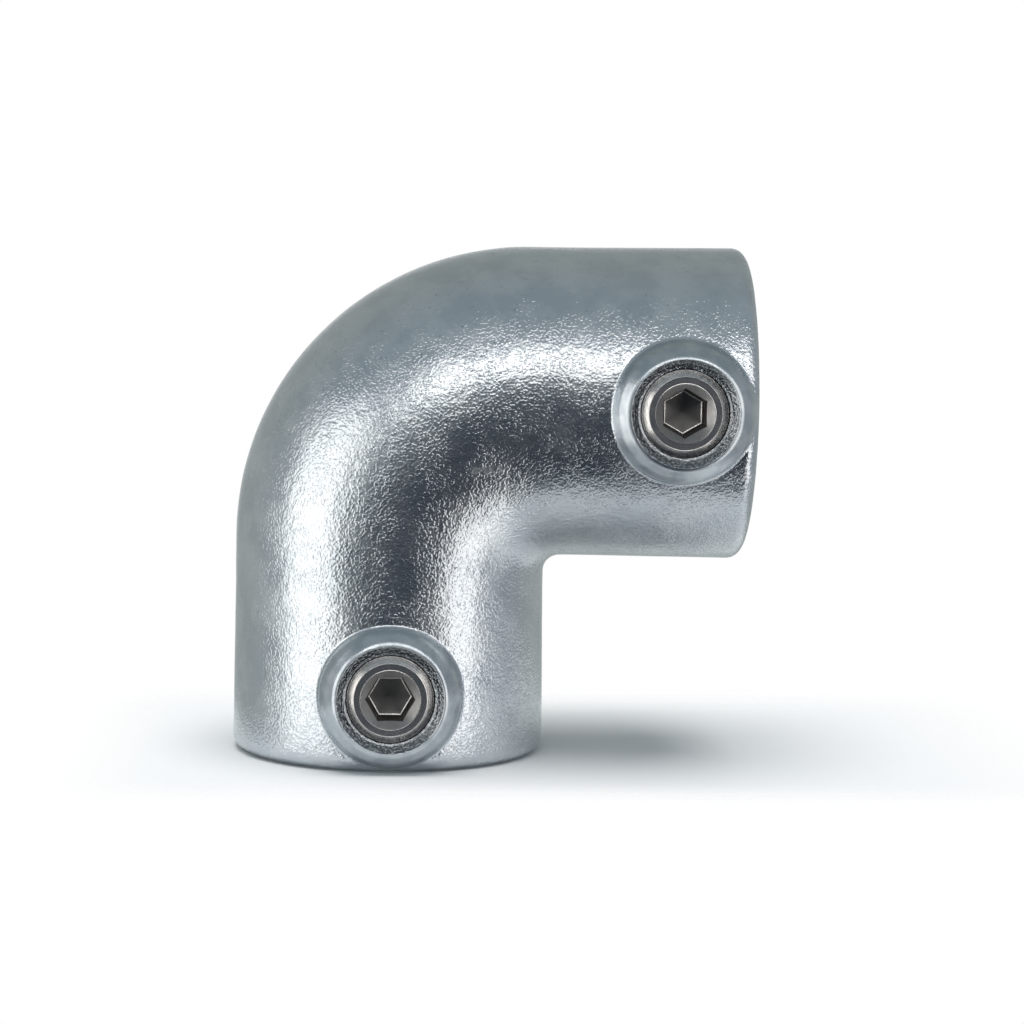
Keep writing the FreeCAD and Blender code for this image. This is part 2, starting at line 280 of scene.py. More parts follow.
def skin_of_casting(pitch):
    # One point in each grid cell that the surface crosses and one face round each grid line
    # that it cuts. Points in cells with an edge of the casting go to that edge
    steps = np.arange(-2, math.ceil((REACH + MOUTH) / pitch) + 3)
    along_z = (steps - 0.5) * pitch
    along_x = REACH - along_z[::-1]
    wide = math.ceil((BOSS_TOP + 1) / pitch)
    along_y = np.arange(-wide, wide + 1) * pitch
    axes = (along_x, along_y, along_z)
    shape = tuple(len(axis) for axis in axes)
    grid = np.stack(np.meshgrid(*axes, indexing="ij"), axis=-1)
    inside = np.concatenate([casting_gap(slab[None])[0][None] for slab in grid]) < 0

    points, normals, cells, quads = [], [], [], []
    for axis in range(3):
        ahead = np.roll(np.eye(3, dtype=int)[0], axis)
        start = tuple(slice(0, size - step) for size, step in zip(shape, ahead))
        end = tuple(slice(step, None) for step in ahead)
        where = np.argwhere(inside[start] != inside[end])
        where = where[(where[:, (axis + 1) % 3] > 0) & (where[:, (axis + 2) % 3] > 0)]
        low = grid[tuple(where.T)]
        high = grid[tuple((where + ahead).T)]
        low_inside = inside[tuple(where.T)][:, None]
        crossing = cross_points(np.where(low_inside, low, high), np.where(low_inside, high, low))
        side = np.roll(np.eye(3, dtype=int)[0], axis + 1)
        rise = np.roll(np.eye(3, dtype=int)[0], axis + 2)
        around = [where - side - rise, where - rise, where, where - side]
        index = np.stack([np.ravel_multi_index(tuple(cell.T), shape) for cell in around], axis=1)
        points.append(np.repeat(crossing, 4, axis=0))
        normals.append(np.repeat(slope_of(casting_gap, crossing), 4, axis=0))
        cells.append(index.ravel())
        quads.append(np.where(low_inside, index, index[:, ::-1]))
    points = np.concatenate(points)
    normals = np.concatenate(normals)
    cells = np.concatenate(cells)
    quads = np.concatenate(quads)

    used, cells = np.unique(cells, return_inverse=True)
    faces = np.searchsorted(used, quads)
    count = np.bincount(cells).astype(float)
    totals = [np.bincount(cells, points[:, axis]) for axis in range(3)]
    middle = np.stack(totals, axis=1) / count[:, None]
    touches = np.zeros((len(used), TAPPED_HOLE + 1), dtype=bool)
    touches[cells, surface_at(points)] = True
    on_edge = touches.sum(axis=1) > 1

    # points on edges: where the tangent planes of the cell's crossings meet, leaving out
    # the directions in which those planes hardly differ
    weakest = 0.03
    reach = np.einsum("ij,ij->i", normals, points - middle[cells])
    square = np.zeros((len(used), 3, 3))
    side = np.zeros((len(used), 3))
    np.add.at(square, cells, normals[:, :, None] * normals[:, None, :])
    np.add.at(side, cells, normals * reach[:, None])
    strength, turned = np.linalg.eigh(square[on_edge])
    keep = strength > weakest * strength[:, 2:]
    pull = np.einsum("nij,ni->nj", turned, side[on_edge])
    pull = np.where(keep, pull / np.maximum(strength, 1e-9), 0)
    move = np.einsum("nij,nj->ni", turned, pull)
    length = np.linalg.norm(move, axis=1, keepdims=True)
    move *= np.minimum(1, pitch / np.maximum(length, 1e-9))
    vertices = middle.copy()
    vertices[on_edge] = settle_on_edges(middle[on_edge] + move, touches[on_edge])
    vertices[~on_edge] = settle(vertices[~on_edge])

    # even out the mesh without leaving the surface: each point halfway to its neighbours' middle
    for _ in range(3):
        total = np.zeros_like(vertices)
        links = np.zeros(len(vertices))
        for step in (1, 3):
            neighbour = np.roll(faces, step, axis=1)
            np.add.at(total, faces.ravel(), vertices[neighbour.ravel()])
            np.add.at(links, faces.ravel(), 1)
        relaxed = vertices * 0.5 + total / links[:, None] * 0.5
        vertices[~on_edge] = settle(relaxed[~on_edge], rounds=2)

    vertices[:, 0] = np.minimum(vertices[:, 0], REACH)
    vertices[:, 2] = np.maximum(vertices[:, 2], 0)

    # faces that an edge runs across are split along it
    first = (touches[faces[:, 0]] & touches[faces[:, 2]]).sum(axis=1) > 1
    second = (touches[faces[:, 1]] & touches[faces[:, 3]]).sum(axis=1) > 1
    along_first = faces[first & ~second]
    along_second = faces[second & ~first]
    split = np.concatenate([
        along_first[:, [0, 1, 2]], along_first[:, [0, 2, 3]],
        along_second[:, [1, 2, 3]], along_second[:, [1, 3, 0]],
    ])
    whole = faces[first == second]
    return vertices, whole, split


# Meshes and objects
def new_piece(name, points, faces, smooth_below=0.6):
    mesh = bpy.data.meshes.new(name)
    mesh.from_pydata((np.asarray(points) * MM).tolist(), [], faces)
    mesh.shade_smooth()
    mesh.set_sharp_from_angle(angle=smooth_below)
    piece = bpy.data.objects.new(name, mesh)
    bpy.context.scene.collection.objects.link(piece)
    return piece


def mark(piece, name, values, domain):
    layer = piece.data.attributes.new(name, "FLOAT", domain)
    layer.data.foreach_set("value", np.asarray(values, dtype=np.float32))


def casting_piece():
    points, whole, split = skin_of_casting(SKIN_PITCH)
    piece = new_piece("galvanised_elbow", points, whole.tolist() + split.tolist())
    middles = np.concatenate([points[whole].mean(axis=1), points[split].mean(axis=1)])
    surfaces = surface_at(middles)
    mark(piece, "thread", surfaces == TAPPED_HOLE, "FACE")
    # the skin keeps still under the pieces that lie on it, the bosses and the mouths' edges
    x, y, z = fold(points)
    from_boss = np.hypot(x, z - SCREW_AXIS) - BOSS_RADIUS
    by_boss = np.clip(BOSS_FOOT + 1 - from_boss, 0, 1) * (y < -CORE)
    by_edge = np.clip(BORE + EDGE_SEAT + 1.5 - np.hypot(x, y), 0, 1) * (z < 0.05)
    mark(piece, "still", np.maximum(by_boss, by_edge), "POINT")
    return piece


def turned_points(rings, along, x, z):
    # Rings of points about a screw's axis. Each ring is its radius and its distance
    # from the screw's tip, the same all round or one for each column
    points = []
    for radius, height in zip(rings, along):
        across = x + radius * np.cos(COLUMN_TURNS)
        outward = np.broadcast_to(-SCREW_TIP - height, COLUMN_TURNS.shape)
        upward = z + radius * np.sin(COLUMN_TURNS)
        points.append(np.stack([across, outward, upward], axis=1))
    return np.concatenate(points)


def ring_faces(rows, joined=False):
    # Faces between each ring and the next, and from the last to the first where they join
    faces = []
    for row in range(rows if joined else rows - 1):
        here = row * THREAD_COLUMNS
        above = (row + 1) % rows * THREAD_COLUMNS
        for column in range(THREAD_COLUMNS):
            beside = (column + 1) % THREAD_COLUMNS
            faces.append((here + column, above + column, above + beside, here + beside))
    return faces


def ease(corners, radius):
    # Outline with a small round at each inner corner
    eased = [np.array(corners[0])]
    for before, corner, after in zip(corners, corners[1:], corners[2:]):
        before, corner, after = (np.array(spot, dtype=float) for spot in (before, corner, after))
        back = (before - corner) / np.linalg.norm(before - corner)
        ahead = (after - corner) / np.linalg.norm(after - corner)
        for share in (0.0, 0.35, 0.65, 1.0):
            eased.append(corner + radius * (back * (1 - share) ** 2 + ahead * share ** 2))
    eased.append(np.array(corners[-1]))
    return eased


def in_steps(outline, longest):
    # The same outline with no stretch longer than the given one
    spots = [outline[0]]
    for start, end in zip(outline, outline[1:]):
        count = max(1, math.ceil(np.linalg.norm(end - start) / longest))
        spots += [start + (end - start) * step / count for step in range(1, count + 1)]
    return spots


def close_ends(points, faces):
    # Both ends of a turned piece run to one point each
    first = len(points)
    last_row = first - THREAD_COLUMNS
    middles = np.stack([points[:THREAD_COLUMNS].mean(axis=0), points[last_row:].mean(axis=0)])
    for column in range(THREAD_COLUMNS):
        beside = (column + 1) % THREAD_COLUMNS
        faces.append((first, column, beside))
        faces.append((first + 1, last_row + beside, last_row + column))
    return np.concatenate([points, middles]), faces


def screw_blank(name, x, z, turn):
    # A set screw: a bar with a cupped tip, a chamfered head with fine raised edges
    # round its flat, and a hexagon socket
    bar = ease([
        (0.02, CUP_DEPTH),
        (CUP_RADIUS, 0.0),
        (SCREW_RADIUS - TIP_CHAMFER, 0.0),
        (SCREW_RADIUS, TIP_CHAMFER),
        (SCREW_RADIUS, SCREW_LENGTH - SCREW_SLOPE),
        (SCREW_RADIUS - SCREW_CHAMFER, SCREW_LENGTH),
        (SCREW_RADIUS - SCREW_CHAMFER - RAISED_EDGE, SCREW_LENGTH - FLAT_SINK),
        (HEX_SINK + 2 * RAISED_EDGE, SCREW_LENGTH - FLAT_SINK),
        (HEX_SINK + RAISED_EDGE, SCREW_LENGTH),
        (HEX_SINK, SCREW_LENGTH),
    ], EASED_EDGE)
    spots = in_steps(bar, THREAD_ROW)
    rings = [spot[0] for spot in spots]
    along = [spot[1] for spot in spots]
    # hexagon socket with its countersunk mouth and drilled floor
    from_flat = (COLUMN_TURNS - turn) % (np.pi / 3) - np.pi / 6
    hexagon = HEX_FLATS / 2 / np.cos(from_flat)
    floor = SCREW_LENGTH - HEX_DEPTH
    for share in (0.04, 0.5, 0.96, 1.0):
        ring = HEX_SINK + (hexagon - HEX_SINK) * share
        rings.append(ring)
        along.append(SCREW_LENGTH - (HEX_SINK - ring) * HEX_SLOPE)
    mouth = along[-1]
    cone_row = len(rings) - 4
    socket_row = len(rings) - 1
    for share in (0.03, 0.5, 0.9):
        rings.append(hexagon * (1 - HEX_TAPER * share))
        along.append(mouth + (floor - mouth) * share)
    # the walls round into the floor, which slopes to the drilled middle
    foot = hexagon * (1 - HEX_TAPER)
    round_row = len(rings)
    for inward, upward in ((0.0, 0.3), (0.06, 0.13), (0.17, 0.03), (0.34, -0.03)):
        rings.append(foot - inward)
        along.append(floor + upward)
    floor_row = len(rings) - 1
    for share in (0.7, 0.4, 0.005):
        rings.append(HEX_FLATS / 2 * share)
        along.append(floor - HEX_POINT * (1 - share))
    points, faces = close_ends(turned_points(rings, along, x, z), ring_faces(len(rings)))
    piece = new_piece(name, points, faces)
    mark(piece, "from_axis", np.hypot(points[:, 0] - x, points[:, 2] - z), "POINT")
    # painted shade in the socket's recess, and how much of it each part gets: its mouth, its walls,
    # the round at their foot, which is left nearly bare, and the floor
    mouth_shade, wall_shade, round_shade, floor_shade = 0.52, 0.9, 0.1, 0.95
    shade_by_row = np.zeros(len(rings) - 1)
    shade_by_row[cone_row:socket_row] = mouth_shade
    shade_by_row[socket_row:] = wall_shade
    shade_by_row[round_row:floor_row] = round_shade
    shade_by_row[floor_row:] = floor_shade
    # the drilled point in the middle of the floor gets the floor's painted shade
    ends = floor_shade * (np.arange(2 * THREAD_COLUMNS) % 2)
    mark(piece, "socket", np.append(np.repeat(shade_by_row, THREAD_COLUMNS), ends), "FACE")
    return piece


def mouth_piece(name, level):
    # The inner edge of a socket's end face with its chamfer, turned about the socket's axis.
    # Its outer edge and its far end dip into the casting
    deep = 0.2
    face_dip, face_edge = 0.06, 0.02
    bore_dip, bore_edge = 0.08, 0.05
    edge_round = 0.015
    outer = BORE + EDGE_SEAT
    front = ease([
        (outer + deep, face_dip),
        (outer - face_edge, 0.0),
        (BORE + MOUTH_CHAMFER, 0.0),
        (BORE, MOUTH_CHAMFER),
        (BORE, EDGE_SEAT_DEPTH - bore_edge),
        (BORE + bore_dip, EDGE_SEAT_DEPTH + deep),
    ], edge_round)
    spots = in_steps(front, EDGE_ROW) + [np.array((outer + deep, EDGE_SEAT_DEPTH + deep))]
    points = []
    for radius, depth in spots:
        across = radius * np.cos(COLUMN_TURNS)
        inward = np.full_like(COLUMN_TURNS, depth)
        if level:
            across, inward = REACH - inward, REACH - across
        points.append(np.stack([across, radius * np.sin(COLUMN_TURNS), inward], axis=1))
    faces = ring_faces(len(spots), joined=True)
    if level:
        faces = [face[::-1] for face in faces]
    piece = new_piece(name, np.concatenate(points), faces)
    piece.data.materials.append(zinc)
    return piece


def skin_height(x, z):
    # How far out the cast skin stands at points of a boss's plan
    plan_x, _, plan_z = fold(np.stack([x, np.zeros_like(x), z], axis=-1))
    low = np.zeros_like(x)
    high = np.full_like(x, BOSS_TOP)
    for _ in range(30):
        middle = (low + high) / 2
        within = skin_gap(plan_x, -middle, plan_z) < 0
        low = np.where(within, middle, low)
        high = np.where(within, high, middle)
    return low


def boss_piece(name, x, z):
    # A boss: its tapped wall, the narrow lip over it, the countersink, and the crest,
    # shoulder, side and foot that lie on the cast skin
    deep = 0.1
    proud = 0.012
    side_x, side_z = np.cos(COLUMN_TURNS), np.sin(COLUMN_TURNS)
    start = BORE + deep - SCREW_TIP
    top = BOSS_TOP - SCREW_TIP
    lip = LIP - SCREW_TIP
    end = lip - (TAPPED_ROOT - TAPPED) * LIP_SLOPE
    wall = in_steps([np.array((TAPPED, start)), np.array((TAPPED, end))], THREAD_ROW)
    sink = in_steps([np.array((TAPPED_ROOT, lip)), np.array((SINK_RADIUS, top))], SINK_ROW)
    # the countersink's edge is eased where it meets the crest
    sink[-1] = np.array((SINK_RADIUS - 0.02, top - 0.05))
    cut = wall + sink
    cut_points = turned_points([spot[0] for spot in cut], [spot[1] for spot in cut], x, z)

    # rough outline of the outside in each column, then settled on the true surface
    def skin_at(radius):
        return skin_height(x + radius * side_x, z + radius * side_z) - SCREW_TIP

    plan_x, _, plan_z = fold(np.stack([x + side_x, 0 * side_x, z + side_z], axis=-1))
    to_mouth = np.maximum(SCREW_AXIS - plan_z, 1e-6)
    outermost = np.minimum(BOSS_RADIUS + BOSS_FOOT, (SCREW_AXIS - FOOT_FROM_END) / to_mouth)
    edge = top - boss_drop(plan_x, plan_z)
    foot = skin_at(BOSS_RADIUS)
    crest_edge = 0.04
    rings, along = [], []
    for share in np.linspace(0, 1, SHOULDER_ROWS):
        radius = SINK_RADIUS + crest_edge + (BOSS_RADIUS - SINK_RADIUS - crest_edge) * share
        lower = max(0, radius - BOSS_CREST) / (BOSS_RADIUS - BOSS_CREST)
        rings.append(radius)
        along.append(top + (edge - top) * lower)
    for share in np.linspace(0, 1, SIDE_ROWS + 1)[1:]:
        rings.append(BOSS_RADIUS)
        along.append(edge + (foot - edge) * share)
    for share in np.linspace(0, 1, FOOT_ROWS + 1)[1:]:
        radius = BOSS_RADIUS + (outermost - BOSS_RADIUS) * share
        rings.append(radius)
        along.append(skin_at(radius))
    outside = turned_points(rings, along, x, z)
    outside = settle(outside, lambda spots: boss_on_skin_gap(spots) - proud, rounds=6)
    outside = np.clip(outside, elbow_low / MM, elbow_high / MM)
    last_ring = outside[-THREAD_COLUMNS:]
    sunk = settle(last_ring, lambda spots: boss_on_skin_gap(spots) + 3 * deep, rounds=4)
    buried = turned_points([TAPPED_ROOT + deep], [start], x, z)

    points = np.concatenate([cut_points, outside, sunk, buried])
    faces = ring_faces(len(points) // THREAD_COLUMNS, joined=True)
    piece = new_piece(name, points, [face[::-1] for face in faces])
    rows = np.repeat(np.arange(len(points) // THREAD_COLUMNS), THREAD_COLUMNS)
    mark(piece, "thread", rows < len(wall) - 1, "FACE")
    # the lip over the threads takes most of the countersink's darker tone, its relief and its painted
    # shade in the hollows
    lip_sink_share = 0.8
    sinks = np.where((rows >= len(wall)) & (rows < len(cut) - 1), 1.0, 0.0)
    sinks[rows == len(wall) - 1] = lip_sink_share
    mark(piece, "sink", sinks, "FACE")
    below_edge = (rows - len(cut) - SHOULDER_ROWS + 1) / SIDE_ROWS
    mark(piece, "boss", np.clip(1 - below_edge, 0, 1) * (rows >= len(cut)), "POINT")
    return piece


# Geometry Nodes trees
class Tree:
    """A node tree that is built as it is written."""

    def __init__(self, tree):
        self.tree = tree

    def node(self, kind, *values, **settings):
        node = self.tree.nodes.new(kind)
        for name, value in settings.items():
            setattr(node, name, value)
        for socket, value in zip(node.inputs, values):
            self.feed(socket, value)
        return node

    def feed(self, socket, value):
        if isinstance(value, bpy.types.Node):
            value = value.outputs[0]
        if isinstance(value, bpy.types.NodeSocket):
            self.tree.links.new(value, socket)
        else:
            socket.default_value = value

    def math(self, operation, *values):
        return self.node("ShaderNodeMath", *values, operation=operation)

    def ramp(self, value, low, high, to_low=0.0, to_high=1.0, kind="SMOOTHSTEP"):
        node = self.node("ShaderNodeMapRange", interpolation_type=kind)
        for socket, number in zip(node.inputs, (value, low, high, to_low, to_high)):
            self.feed(socket, number)
        return node


def geometry_tree(name, inputs):
    tree = bpy.data.node_groups.new(name, "GeometryNodeTree")
    tree.interface.new_socket("Geometry", in_out="INPUT", socket_type="NodeSocketGeometry")
    for label, kind in inputs:
        tree.interface.new_socket(label, in_out="INPUT", socket_type=f"NodeSocket{kind}")
    tree.interface.new_socket("Geometry", in_out="OUTPUT", socket_type="NodeSocketGeometry")
    return Tree(tree)


def close_tree(build, geometry, material):
    realized = build.node("GeometryNodeRealizeInstances", geometry)
    finished = build.node("GeometryNodeSetMaterial")
    build.feed(finished.inputs["Geometry"], realized)
    build.feed(finished.inputs["Material"], material)
    build.node("NodeGroupOutput", finished)
    return build.tree


def thread_tree():
    # Cuts a screw thread into a bar or into the wall of a hole, about an axis along Y
    build = geometry_tree("cut_thread", (
        ("Axis X", "Float"), ("Axis Z", "Float"), ("Start", "Float"), ("Pitch", "Float"),
        ("End", "Float"), ("Crest", "Float"), ("Root", "Float"), ("In a hole", "Bool"),
        ("Material", "Material"),
    ))
    given = build.node("NodeGroupInput").outputs
    place = build.node("ShaderNodeSeparateXYZ", build.node("GeometryNodeInputPosition")).outputs
    across = build.math("SUBTRACT", place[0], given["Axis X"])
    upward = build.math("SUBTRACT", place[2], given["Axis Z"])
    squares = [build.math("MULTIPLY", part, part) for part in (across, upward)]
    radius = build.math("SQRT", build.math("ADD", *squares))
    turn = build.math("DIVIDE", build.math("ARCTAN2", upward, across), 2 * math.pi)
    climb = build.math("DIVIDE", build.math("SUBTRACT", given["Start"], place[1]), given["Pitch"])
    phase = build.math("FRACT", build.math("ADD", climb, turn))
    flank = build.math("ABSOLUTE", build.math("SUBTRACT", build.math("MULTIPLY", phase, 2.0), 1.0))
    cut_to = build.ramp(flank, 0.0, 1.0, given["Root"], given["Crest"])
    before_end = build.math("SUBTRACT", place[1], given["End"])
    runs_out = build.ramp(before_end, 0.0, given["Pitch"])
    cut = build.math("MULTIPLY", build.math("SUBTRACT", cut_to, given["Crest"]), runs_out)
    thread = build.math("ADD", given["Crest"], cut)
    pick = build.node("GeometryNodeSwitch", input_type="FLOAT")
    build.feed(pick.inputs["Switch"], given["In a hole"])
    build.feed(pick.inputs["False"], build.math("MINIMUM", radius, thread))
    build.feed(pick.inputs["True"], build.math("MAXIMUM", radius, thread))
    ratio = build.math("DIVIDE", pick, build.math("MAXIMUM", radius, 1e-6))
    moved = build.node(
        "ShaderNodeCombineXYZ",
        build.math("ADD", given["Axis X"], build.math("MULTIPLY", across, ratio)),
        place[1],
        build.math("ADD", given["Axis Z"], build.math("MULTIPLY", upward, ratio)),
    )
    threaded = build.node("GeometryNodeSetPosition")
    build.feed(threaded.inputs["Geometry"], given["Geometry"])
    build.feed(threaded.inputs["Position"], moved)
    return close_tree(build, threaded, given["Material"])


def cast_tree():
    # Lets the cast skin rise and fall a little, inwards only, and leaves cut faces true
    build = geometry_tree("cast_skin", (
        ("Depth", "Float"), ("Swell", "Float"), ("Seed", "Float"), ("Material", "Material"),
    ))
    given = build.node("NodeGroupInput").outputs
    kept = 1.0
    for name in ("thread", "still"):
        finish = build.node("GeometryNodeInputNamedAttribute", name, data_type="FLOAT")
        kept = build.math("MULTIPLY", kept, build.math("SUBTRACT", 1.0, finish.outputs[0]))
    swells = build.node("ShaderNodeTexNoise", noise_dimensions="4D")
    build.feed(swells.inputs["Vector"], build.node("GeometryNodeInputPosition"))
    build.feed(swells.inputs["W"], given["Seed"])
    build.feed(swells.inputs["Scale"], build.math("DIVIDE", 1.0, given["Swell"]))
    build.feed(swells.inputs["Detail"], 2.0)
    sink = build.ramp(swells.outputs[0], 0.25, 0.75, kind="LINEAR")
    inwards = build.math("MULTIPLY", given["Depth"], -1.0)
    depth = build.math("MULTIPLY", build.math("MULTIPLY", sink, kept), inwards)
    outward = build.node("GeometryNodeInputNormal")
    inward = build.node("ShaderNodeVectorMath", outward, operation="SCALE")
    build.feed(inward.inputs["Scale"], depth)
    settled = build.node("GeometryNodeSetPosition")
    build.feed(settled.inputs["Geometry"], given["Geometry"])
    build.feed(settled.inputs["Offset"], inward)
    return close_tree(build, settled, given["Material"])


def shaped(piece, tree, **inputs):
    # Runs a tree on a piece and keeps the result as a plain mesh
    step = piece.modifiers.new(tree.name, "NODES")
    step.node_group = tree
    for item in tree.interface.items_tree:
        name = item.name.replace(" ", "_").lower()
        if item.in_out == "INPUT" and name in inputs:
            step[item.identifier] = inputs[name]
    blank = piece.data
    evaluated = piece.evaluated_get(bpy.context.evaluated_depsgraph_get())
    result = bpy.data.meshes.new_from_object(evaluated)
    piece.modifiers.remove(step)
    piece.data = result
    result.name = piece.name
    bpy.data.meshes.remove(blank)
    return piece


# Finishes
def new_material(name):
    material = bpy.data.materials.new(name)
    material.use_nodes = True
    build = Tree(material.node_tree)
    surface = material.node_tree.nodes["Principled BSDF"]
    return material, build, surface


def noise(build, place, size_mm, detail=2.0, roughness=0.5):
    node = build.node("ShaderNodeTexNoise")
    build.feed(node.inputs["Vector"], place)
    build.feed(node.inputs["Scale"], 1 / (size_mm * MM))
    build.feed(node.inputs["Detail"], detail)
    build.feed(node.inputs["Roughness"], roughness)
    return node.outputs[0]


def colour_mix(build, factor, first, second):
    node = build.node("ShaderNodeMix", data_type="RGBA")
    build.feed(node.inputs[0], factor)
    build.feed(node.inputs[6], first)
    build.feed(node.inputs[7], second)
    return node.outputs[2]


def attribute(build, name):
    return build.node("ShaderNodeAttribute", attribute_name=name).outputs["Fac"]


def scaled(build, value, factor, start=0.0):
    # A start value plus a share of another value
    return build.math("MULTIPLY_ADD", value, factor, start)


def zinc_material():
    # Hot-dip zinc on a sand casting: pebbled, with cloudy patches and fine dark pits,
    # smoother on the bosses' shoulders and dull in the threads; darker in the countersinks,
    # with painted shade in the hollows of their relief
    material, build, surface = new_material("galvanised_zinc")
    place = build.node("ShaderNodeTexCoord").outputs["Object"]
    sink = attribute(build, "sink")
    thread = attribute(build, "thread")
    boss = build.math("MULTIPLY", attribute(build, "boss"), build.math("SUBTRACT", 1.0, sink))
    swells = noise(build, place, 1.5, 1.0)
    pebbles = noise(build, place, 0.47, 1.0, 0.45)
    grains = build.ramp(pebbles, 0.46, 0.70)
    blotches = noise(build, place, 3.0, 2.0, 0.5)
    clouds = noise(build, place, 9.0, 3.0, 0.55)
    pits = build.ramp(noise(build, place, 0.8, 1.0), 0.70, 0.76)

    pale = (0.66, 0.695, 0.715, 1)
    dull = (0.57, 0.61, 0.64, 1)
    pitted = (0.20, 0.22, 0.24, 1)
    pale_shoulder = (0.55, 0.59, 0.61, 1)
    dull_shoulder = (0.42, 0.47, 0.50, 1)
    dark_sink = (0.12, 0.13, 0.14, 1)
    dark_thread = (0.16, 0.16, 0.16, 1)
    tone = colour_mix(build, build.ramp(clouds, 0.35, 0.65), dull, pale)
    tone = colour_mix(build, scaled(build, pits, 0.3), tone, pitted)
    shoulder = colour_mix(build, build.ramp(blotches, 0.35, 0.65), dull_shoulder, pale_shoulder)
    tone = colour_mix(build, scaled(build, boss, 0.85), tone, shoulder)
    # painted shade: in the countersinks the colour is darkest in the hollows of the pebbled relief
    hollow_shade = build.ramp(pebbles, 0.62, 0.38, 0.55, 0.88)
    tone = colour_mix(build, build.math("MULTIPLY", sink, hollow_shade), tone, dark_sink)
    tone = colour_mix(build, scaled(build, thread, 0.7), tone, dark_thread)
    build.feed(surface.inputs["Base Color"], tone)
    surface.inputs["Metallic"].default_value = 1.0

    roughness = build.ramp(clouds, 0.3, 0.7, 0.19, 0.29, kind="LINEAR")
    build.feed(surface.inputs["Roughness"], scaled(build, boss, 0.06, roughness))

    # relief, as shares of the bump's distance; the countersinks are rougher
    coarse = scaled(build, swells, 0.42)
    fine = build.math("MULTIPLY", pebbles, scaled(build, sink, 0.22, 0.15))
    raised = build.math("MULTIPLY", grains, scaled(build, sink, 0.1, 0.145))
    patchy = build.ramp(noise(build, place, 5.0, 2.0), 0.36, 0.64, 0.72, 1.28)
    fine = build.math("MULTIPLY", build.math("ADD", fine, raised), patchy)
    bump = build.node("ShaderNodeBump")
    build.feed(bump.inputs["Strength"], scaled(build, boss, -0.82, 1.0))
    bump.inputs["Distance"].default_value = 0.2 * MM
    build.feed(bump.inputs["Height"], build.math("ADD", coarse, fine))
    build.feed(surface.inputs["Normal"], bump)
    return material


def steel_material():
    # Turned bare steel with fine tool rings round each screw's axis, and painted shade that darkens
    # the hexagon socket
    material, build, surface = new_material("turned_steel")
    place = build.node("ShaderNodeTexCoord").outputs["Object"]
    socket = attribute(build, "socket")
    stain = noise(build, place, 2.2, 3.0, 0.6)
    bright = (0.70, 0.685, 0.66, 1)
    worn = (0.58, 0.565, 0.545, 1)
    socket_shade_tone = (0.095, 0.093, 0.09, 1)
    tone = colour_mix(build, build.ramp(stain, 0.35, 0.7), bright, worn)
    # painted shade: the hexagon socket darkens towards black, deepest on its walls and floor
    tone = colour_mix(build, socket, tone, socket_shade_tone)
    build.feed(surface.inputs["Base Color"], tone)
    surface.inputs["Metallic"].default_value = 1.0
    from_axis = attribute(build, "from_axis")
    flat_edge = SCREW_RADIUS - SCREW_CHAMFER
    flat = build.ramp(from_axis, flat_edge, flat_edge - RAISED_EDGE)
    roughness = build.ramp(stain, 0.3, 0.7, 0.16, 0.26, kind="LINEAR")
    roughness = scaled(build, flat, 0.04, roughness)
    build.feed(surface.inputs["Roughness"], scaled(build, socket, 0.22, roughness))
    rings = build.node("ShaderNodeTexNoise", noise_dimensions="1D")
    build.feed(rings.inputs["W"], from_axis)
    rings.inputs["Scale"].default_value = 9.0
    rings.inputs["Detail"].default_value = 3.0
    grain = noise(build, place, 0.4, 2.0)
    marks = scaled(build, rings.outputs[0], 0.6, scaled(build, grain, 0.4))
    bump = build.node("ShaderNodeBump")
    bump.inputs["Strength"].default_value = 0.5
    bump.inputs["Distance"].default_value = 0.05 * MM
    build.feed(bump.inputs["Height"], marks)
    build.feed(surface.inputs["Normal"], bump)
    return material


zinc = zinc_material()
steel = steel_material()
cut_thread = thread_tree()
cast_skin = cast_tree()

# The casting, kept inside the modelled part's own box
skin_relief = {"depth": 0.05 * MM, "swell": 5.0 * MM, "seed": 3.0}
casting = shaped(casting_piece(), cast_skin, material=zinc, **skin_relief)
within = np.empty(3 * len(casting.data.vertices), dtype=np.float32)
casting.data.vertices.foreach_get("co", within)
within = np.clip(within.reshape(-1, 3), elbow_low, elbow_high)
casting.data.vertices.foreach_set("co", within.ravel())
casting.data.update()
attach(casting, "casting")
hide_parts("elbow")

# The mouths' edges, the set screws and the bosses
for arm in ("vertical", "horizontal"):
    edge = mouth_piece(f"{arm}_mouth_edge", arm == "horizontal")
    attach(edge, "casting")

screw_places = {
    "vertical": (0.0, SCREW_AXIS, 0.0),
    "horizontal": (REACH - SCREW_AXIS, REACH, math.radians(30)),
}
for arm, (x, z, turn) in screw_places.items():
    thread = {
        "axis_x": x * MM,
        "axis_z": z * MM,
        "start": -SCREW_TIP * MM,
        "pitch": THREAD_PITCH * MM,
    }
    bar = {
        "end": -(SCREW_TIP + SCREW_LENGTH - SCREW_SLOPE) * MM,
        "crest": SCREW_RADIUS * MM,
        "root": SCREW_ROOT * MM,
    }
    screw = screw_blank(f"{arm}_set_screw", x, z, turn)
    shaped(screw, cut_thread, in_a_hole=False, material=steel, **thread, **bar)
    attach(screw, f"{arm}_screw")
    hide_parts(f"{arm}_screw")
    wall = {"end": -LIP * MM, "crest": TAPPED * MM, "root": TAPPED_ROOT * MM}
    boss = boss_piece(f"{arm}_boss", x, z)
    shaped(boss, cut_thread, in_a_hole=True, material=zinc, **thread, **wall)
    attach(boss, "casting")


